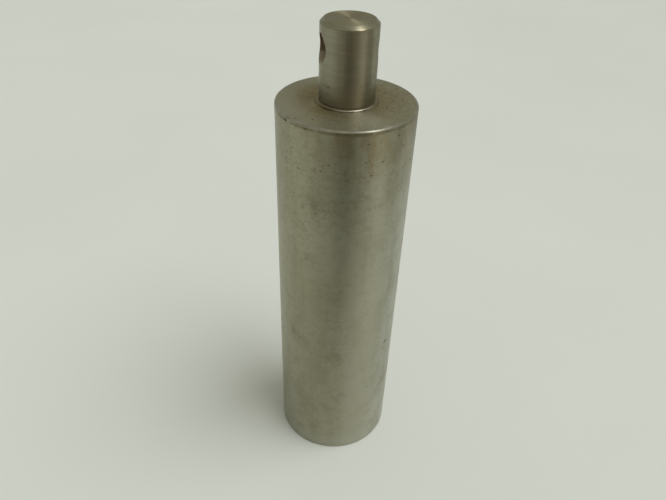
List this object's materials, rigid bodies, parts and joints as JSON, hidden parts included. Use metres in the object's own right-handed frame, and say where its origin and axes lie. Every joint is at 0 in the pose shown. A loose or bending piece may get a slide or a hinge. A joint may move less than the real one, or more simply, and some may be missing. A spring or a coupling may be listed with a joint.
{
  "type": "live center",
  "caption": "Straight-shank live center: ground cylindrical housing with a spindle running on ball and thrust bearings; bare nose with a cross hole.",
  "frame": {"origin": "middle of the housing's flat rear face", "axes": "+Z along the spindle axis, from the rear face towards the nose; +X along the cross hole at rest"},
  "size_m": [0.0382, 0.0382, 0.1455],
  "materials": {
    "ground_steel": "satin cylindrically ground, lightly pitted",
    "turned_steel": "fine turned",
    "pressed_steel": "bright pressed sheet",
    "spring_steel": "blued spring steel",
    "nitrile_rubber": "matt black",
    "bearing_steel": "ground and polished",
    "ball_steel": "polished",
    "cage_brass": "machined",
    "sleeve_steel": "turned",
    "black_steel": "black oxide"
  },
  "bodies": {
    "housing": {"housing": "ground_steel", "seal_case": "pressed_steel", "seal_lip": "nitrile_rubber", "wave_spring": "spring_steel", "front_bearing_outer_ring": "bearing_steel", "front_bearing_shields": "pressed_steel", "thrust_housing_washer": "bearing_steel", "spacer_sleeve": "sleeve_steel", "rear_bearing_outer_ring": "bearing_steel", "rear_bearing_shields": "pressed_steel", "retaining_plug": "black_steel", "plug_o_ring": "nitrile_rubber", "lock_ring": "black_steel", "grease_screw": "black_steel"},
    "spindle": {"spindle": "turned_steel", "front_bearing_inner_ring": "bearing_steel", "thrust_shaft_washer": "bearing_steel", "rear_bearing_inner_ring": "bearing_steel", "tail_circlip": "spring_steel"},
    "front_rollers": {"front_bearing_balls": "ball_steel", "front_bearing_cage": "cage_brass"},
    "thrust_rollers": {"thrust_balls": "ball_steel", "thrust_cage": "cage_brass"},
    "rear_rollers": {"rear_bearing_balls": "ball_steel", "rear_bearing_cage": "cage_brass"}
  },
  "joints": [
    {"name": "spindle_spin", "type": "hinge", "parent": "housing", "child": "spindle", "pos_m": [0, 0, 0.1104], "axis": [0, 0, 1], "continuous": true},
    {"name": "front_cage_orbit", "type": "hinge", "parent": "housing", "child": "front_rollers", "pos_m": [0, 0, 0.1104], "axis": [0, 0, 1], "continuous": true},
    {"name": "thrust_cage_orbit", "type": "hinge", "parent": "housing", "child": "thrust_rollers", "pos_m": [0, 0, 0.0984], "axis": [0, 0, 1], "continuous": true},
    {"name": "rear_cage_orbit", "type": "hinge", "parent": "housing", "child": "rear_rollers", "pos_m": [0, 0, 0.027], "axis": [0, 0, 1], "continuous": true}
  ],
  "couplings": [
    {"joint": "front_cage_orbit", "follows": "spindle_spin", "ratio": 0.424},
    {"joint": "thrust_cage_orbit", "follows": "spindle_spin", "ratio": 0.5},
    {"joint": "rear_cage_orbit", "follows": "spindle_spin", "ratio": 0.38095}
  ]
}
